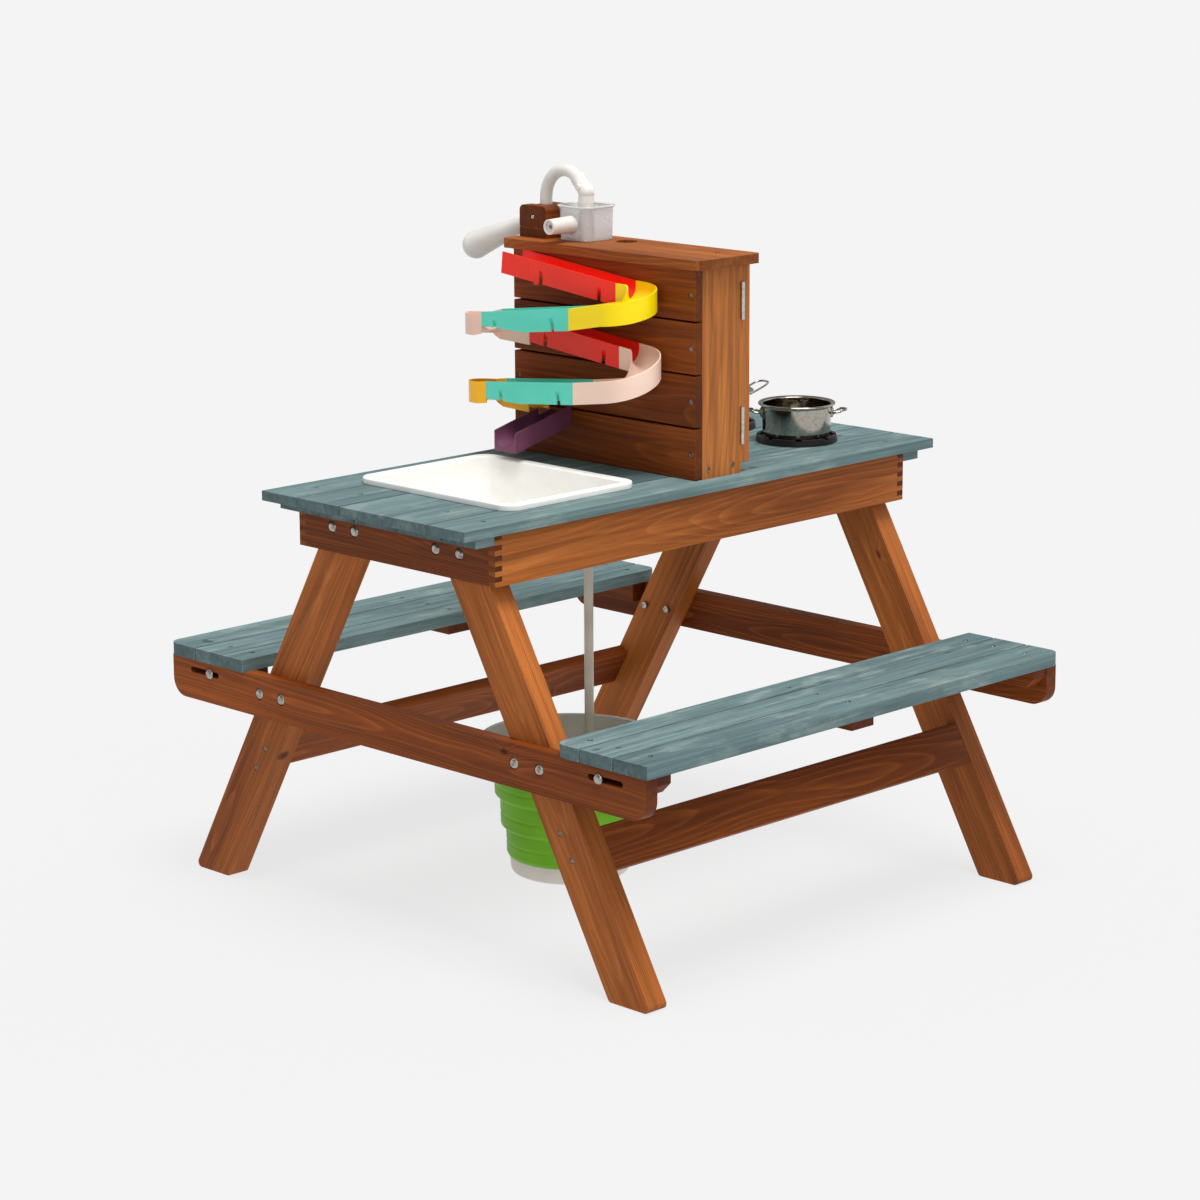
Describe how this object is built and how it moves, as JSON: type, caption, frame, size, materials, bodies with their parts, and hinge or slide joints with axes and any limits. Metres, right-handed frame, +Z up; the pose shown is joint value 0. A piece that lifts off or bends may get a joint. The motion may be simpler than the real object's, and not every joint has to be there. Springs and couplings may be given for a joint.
{
  "type": "sand and water table",
  "caption": "Child's wooden picnic-style sand and water table with sliding benches, a drop-in basin, a hand-pump tower with coloured water tracks, hob rings and pans, and a folding bucket.",
  "frame": {"origin": "on the floor at the middle of the bounding box", "axes": "+X along the table planks, +Y across the benches towards the back bench, +Z up; the water tracks face -X"},
  "size_m": [0.896, 0.928, 0.9747],
  "materials": {
    "stained_pine": "reddish-brown stain, open grain, satin",
    "light_stained_pine": "orange-brown stain, strong grain, satin",
    "blue_stained_pine": "grey-blue stain, worn edges, matt",
    "hinge_steel": "zinc-plated, satin",
    "red_plastic": "satin moulded",
    "yellow_plastic": "satin moulded",
    "teal_plastic": "satin moulded",
    "pink_plastic": "satin moulded",
    "peach_plastic": "satin moulded",
    "orange_plastic": "satin moulded",
    "purple_plastic": "satin moulded",
    "milky_plastic": "milky, slightly see-through",
    "clear_plastic": "clear plastic with a frosted look",
    "black_plastic": "satin black",
    "white_plastic": "smooth white",
    "grey_rubber": "soft",
    "chrome_bolts": "polished",
    "dark_screws": "oiled, recessed",
    "stainless_steel": "polished",
    "green_silicone": "matt silicone",
    "bucket_plastic": "milky white"
  },
  "bodies": {
    "frame": {"leg_front_left": "stained_pine", "leg_front_right": "stained_pine", "leg_back_left": "stained_pine", "leg_back_right": "stained_pine", "seat_beam_left": "stained_pine", "seat_beam_right": "stained_pine", "rail_front": "stained_pine", "rail_back": "stained_pine", "apron_long_boards": "stained_pine", "apron_end_boards": "stained_pine", "top_plank_1": "blue_stained_pine", "top_plank_2": "blue_stained_pine", "top_plank_3": "blue_stained_pine", "top_plank_4": "blue_stained_pine", "top_plank_5": "blue_stained_pine", "tower_front_boards": "stained_pine", "tower_side_boards": "light_stained_pine", "tower_top_board": "stained_pine", "hinge_fixed_leaves": "hinge_steel", "track_start": "red_plastic", "track_red_upper": "red_plastic", "track_curve_yellow": "yellow_plastic", "track_teal_upper": "teal_plastic", "track_curve_pink": "pink_plastic", "track_red_lower": "red_plastic", "track_curve_peach": "peach_plastic", "track_teal_lower": "teal_plastic", "track_curve_orange": "orange_plastic", "track_spout": "purple_plastic", "pump_block": "stained_pine", "pump_cylinder": "milky_plastic", "pump_gooseneck": "milky_plastic", "pump_riser": "milky_plastic", "water_cup": "clear_plastic", "cup_spigot": "milky_plastic", "suction_pipe": "milky_plastic", "hob_rings": "black_plastic", "frame_bolts": "chrome_bolts", "frame_screws": "dark_screws"},
    "bench_front": {"bench_front_planks": "blue_stained_pine", "bench_front_cleats": "light_stained_pine", "bench_front_bolts": "chrome_bolts"},
    "bench_back": {"bench_back_planks": "blue_stained_pine", "bench_back_cleats": "light_stained_pine", "bench_back_bolts": "chrome_bolts"},
    "door_front": {"door_front": "light_stained_pine", "hinge_leaves_front": "hinge_steel"},
    "door_back": {"door_back": "light_stained_pine", "hinge_leaves_back": "hinge_steel"},
    "lever": {"pump_lever": "milky_plastic"},
    "piston": {"pump_piston": "milky_plastic"},
    "basin": {"basin": "white_plastic"},
    "plug": {"basin_plug": "grey_rubber"},
    "pot": {"cooking_pot": "stainless_steel"},
    "pan": {"frying_pan": "stainless_steel"},
    "bucket": {"bucket_base": "bucket_plastic"},
    "ring_lower": {"bucket_ring_lower": "green_silicone"},
    "ring_middle": {"bucket_ring_middle": "green_silicone"},
    "ring_upper": {"bucket_ring_upper": "green_silicone"},
    "rim": {"bucket_rim": "bucket_plastic"}
  },
  "joints": [
    {"name": "bench_front_slide", "type": "slide", "parent": "frame", "child": "bench_front", "axis": [0, -1, 0], "range_m": [-0.014, 0.037]},
    {"name": "bench_back_slide", "type": "slide", "parent": "frame", "child": "bench_back", "axis": [0, 1, 0], "range_m": [-0.014, 0.037]},
    {"name": "door_front_hinge", "type": "hinge", "parent": "frame", "child": "door_front", "pos_m": [0.0753, -0.174, 0.725], "axis": [0, 0, -1], "range_deg": [0, 110]},
    {"name": "door_back_hinge", "type": "hinge", "parent": "frame", "child": "door_back", "pos_m": [0.0753, 0.174, 0.725], "axis": [0, 0, 1], "range_deg": [0, 110]},
    {"name": "pump_lever_hinge", "type": "hinge", "parent": "frame", "child": "lever", "pos_m": [0.034, 0.154, 0.9015], "axis": [1, 0, 0], "range_deg": [0, 40]},
    {"name": "pump_piston_slide", "type": "slide", "parent": "frame", "child": "piston", "axis": [0, 0, 1], "range_m": [-0.0098, 0.0002]},
    {"name": "basin_lift", "type": "slide", "parent": "frame", "child": "basin", "axis": [0, 0, 1], "range_m": [0, 0.007]},
    {"name": "plug_lift", "type": "slide", "parent": "basin", "child": "plug", "axis": [0, 0, 1], "range_m": [0, 0.05]},
    {"name": "pot_lift", "type": "slide", "parent": "frame", "child": "pot", "axis": [0, 0, 1], "range_m": [0, 0.15]},
    {"name": "pan_lift", "type": "slide", "parent": "frame", "child": "pan", "axis": [0, 0, 1], "range_m": [0, 0.15]},
    {"name": "bucket_lift", "type": "slide", "parent": "frame", "child": "bucket", "axis": [0, 0, 1], "range_m": [0, 0.02]},
    {"name": "bucket_collapse", "type": "slide", "parent": "bucket", "child": "rim", "axis": [0, 0, -1], "range_m": [0, 0.138]},
    {"name": "ring_upper_slide", "type": "slide", "parent": "bucket", "child": "ring_upper", "axis": [0, 0, -1], "range_m": [0, 0.1021]},
    {"name": "ring_middle_slide", "type": "slide", "parent": "bucket", "child": "ring_middle", "axis": [0, 0, -1], "range_m": [0, 0.0601]},
    {"name": "ring_lower_slide", "type": "slide", "parent": "bucket", "child": "ring_lower", "axis": [0, 0, -1], "range_m": [0, 0.0221]}
  ],
  "couplings": [
    {"joint": "pump_piston_slide", "follows": "pump_lever_hinge", "m_per_rad": -0.013717},
    {"joint": "ring_upper_slide", "follows": "bucket_collapse", "ratio": 0.73913},
    {"joint": "ring_middle_slide", "follows": "bucket_collapse", "ratio": 0.43478},
    {"joint": "ring_lower_slide", "follows": "bucket_collapse", "ratio": 0.15942}
  ]
}
